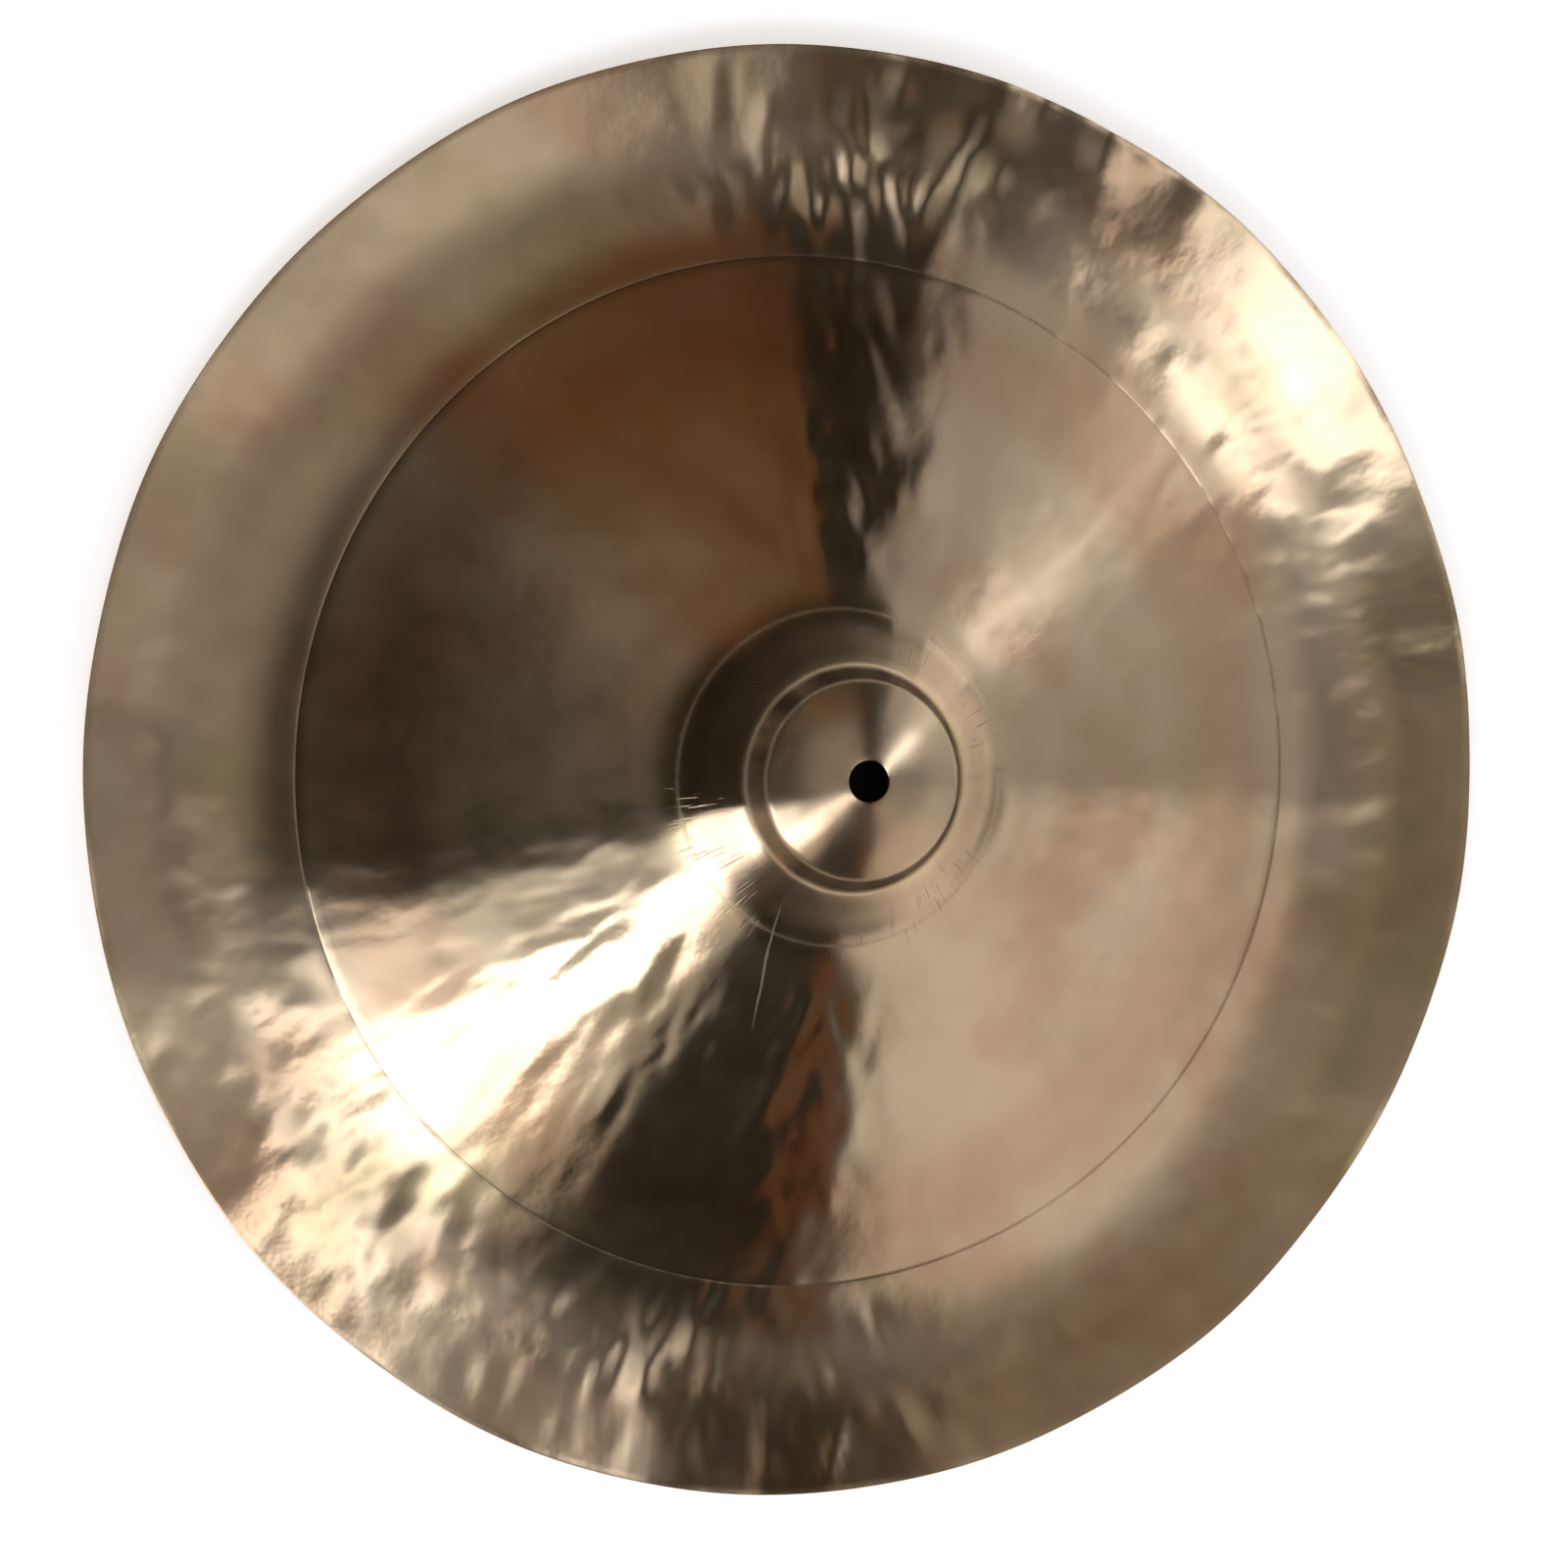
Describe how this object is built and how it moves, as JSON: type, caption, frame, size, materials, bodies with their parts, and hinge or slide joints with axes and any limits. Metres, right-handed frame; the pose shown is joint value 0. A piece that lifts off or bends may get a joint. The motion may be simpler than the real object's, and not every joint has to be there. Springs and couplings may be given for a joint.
{
  "type": "china cymbal",
  "caption": "China cymbal: a thin round bronze disc with a stepped bell, a sloping bow with a scored line, and a hammered bend beyond which the flange turns up.",
  "frame": {"origin": "on the cymbal's axis, at the height of the underside of the crease that it rests on", "axes": "+Z along the axis, out of the top of the bell"},
  "size_m": [0.4579, 0.4578, 0.0732],
  "materials": {
    "bronze": "hand-hammered and lathed bell bronze, lightly tarnished"
  },
  "bodies": {
    "root": {"cymbal": "bronze"}
  },
  "joints": []
}
